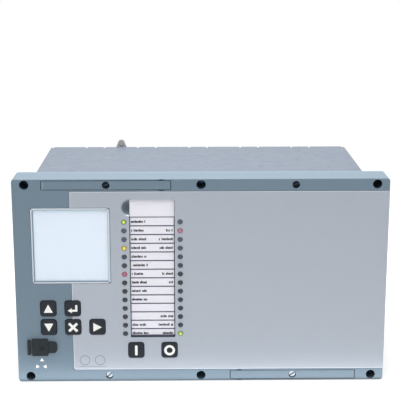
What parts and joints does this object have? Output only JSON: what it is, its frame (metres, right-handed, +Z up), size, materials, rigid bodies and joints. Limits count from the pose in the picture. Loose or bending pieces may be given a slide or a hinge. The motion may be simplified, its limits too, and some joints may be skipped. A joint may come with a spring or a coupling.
{
  "type": "protection relay",
  "caption": "Flush-mounting protection relay: display, sprung keys, lamp columns beside a legend card, hinged port cap and a folded steel case with rear terminal blocks.",
  "frame": {"origin": "under the middle of the object, at the level of the underside of the front", "axes": "+X to the right of the front, +Y from the front to the rear, +Z up"},
  "size_m": [0.3116, 0.204, 0.177],
  "materials": {
    "housing": "blue-grey moulding with a fine satin grain",
    "silver_plate": "silver matt lacquer",
    "window": "pale display window",
    "lcd_frame": "plain sheet frame",
    "silicone": "grey silicone",
    "card": "printed card",
    "lens": "smoked lenses",
    "key": "dark keys with pale signs",
    "cap_rubber": "black rubber",
    "port_shell": "plated shell",
    "board": "green circuit board",
    "zinc_sheet": "zinc-plated sheet with a soft bloom",
    "earth_metal": "nickel-plated brass",
    "guide": "black moulding",
    "terminal": "black glass-filled moulding",
    "black_screw": "blackened steel",
    "bright_screw": "zinc-plated steel"
  },
  "bodies": {
    "relay": {"board_guide_lower": "guide", "board_guide_upper": "guide", "bus_board": "board", "case_shell": "zinc_sheet", "cover_screw_1": "bright_screw", "cover_screw_2": "bright_screw", "cover_screw_3": "bright_screw", "cover_screw_4": "bright_screw", "display_bezel": "housing", "display_window": "window", "earth_nut": "earth_metal", "earth_stud": "earth_metal", "earth_tab": "zinc_sheet", "fascia_frame": "housing", "front_board": "board", "front_plate": "silver_plate", "keypad_mat_breaker": "silicone", "keypad_mat_menu": "silicone", "lamp_guide_left": "lens", "lamp_guide_right": "lens", "lcd_module": "lcd_frame", "legend_card": "card", "measuring_board_left": "board", "measuring_board_right": "board", "panel_screw_1": "black_screw", "panel_screw_2": "black_screw", "panel_screw_3": "black_screw", "panel_screw_4": "black_screw", "panel_screw_5": "black_screw", "panel_screw_6": "black_screw", "port_cap_anchor": "cap_rubber", "power_board": "board", "processor_board": "board", "rear_plate": "zinc_sheet", "relay_board_left": "board", "relay_board_right": "board", "service_port": "port_shell", "strip_lower": "housing", "strip_upper": "housing", "terminal_block_1": "terminal", "terminal_block_2": "terminal", "terminal_block_3": "terminal", "terminal_block_4": "terminal", "terminal_block_5": "terminal", "terminal_block_6": "terminal"},
    "cap": {"port_cap": "cap_rubber"},
    "up_button": {"key_up": "key"},
    "enter_button": {"key_enter": "key"},
    "down_button": {"key_down": "key"},
    "cancel_button": {"key_cancel": "key"},
    "right_button": {"key_right": "key"},
    "close_button": {"key_close": "key"},
    "open_button": {"key_open": "key"}
  },
  "joints": [
    {"name": "up_press", "type": "slide", "parent": "relay", "child": "up_button", "axis": [0, 1, 0], "range_m": [0, 0.0008], "stiffness_N_per_m": 2000, "springref_m": -0.0002},
    {"name": "enter_press", "type": "slide", "parent": "relay", "child": "enter_button", "axis": [0, 1, 0], "range_m": [0, 0.0008], "stiffness_N_per_m": 2000, "springref_m": -0.0002},
    {"name": "down_press", "type": "slide", "parent": "relay", "child": "down_button", "axis": [0, 1, 0], "range_m": [0, 0.0008], "stiffness_N_per_m": 2000, "springref_m": -0.0002},
    {"name": "cancel_press", "type": "slide", "parent": "relay", "child": "cancel_button", "axis": [0, 1, 0], "range_m": [0, 0.0008], "stiffness_N_per_m": 2000, "springref_m": -0.0002},
    {"name": "right_press", "type": "slide", "parent": "relay", "child": "right_button", "axis": [0, 1, 0], "range_m": [0, 0.0008], "stiffness_N_per_m": 2000, "springref_m": -0.0002},
    {"name": "close_press", "type": "slide", "parent": "relay", "child": "close_button", "axis": [0, 1, 0], "range_m": [0, 0.0008], "stiffness_N_per_m": 2000, "springref_m": -0.0002},
    {"name": "open_press", "type": "slide", "parent": "relay", "child": "open_button", "axis": [0, 1, 0], "range_m": [0, 0.0008], "stiffness_N_per_m": 2000, "springref_m": -0.0002},
    {"name": "cap_hinge", "type": "hinge", "parent": "relay", "child": "cap", "pos_m": [-0.1438, -0.102, 0.0312], "axis": [0, 0, -1], "range_deg": [0, 130], "stiffness_Nm_per_rad": 0.003}
  ]
}
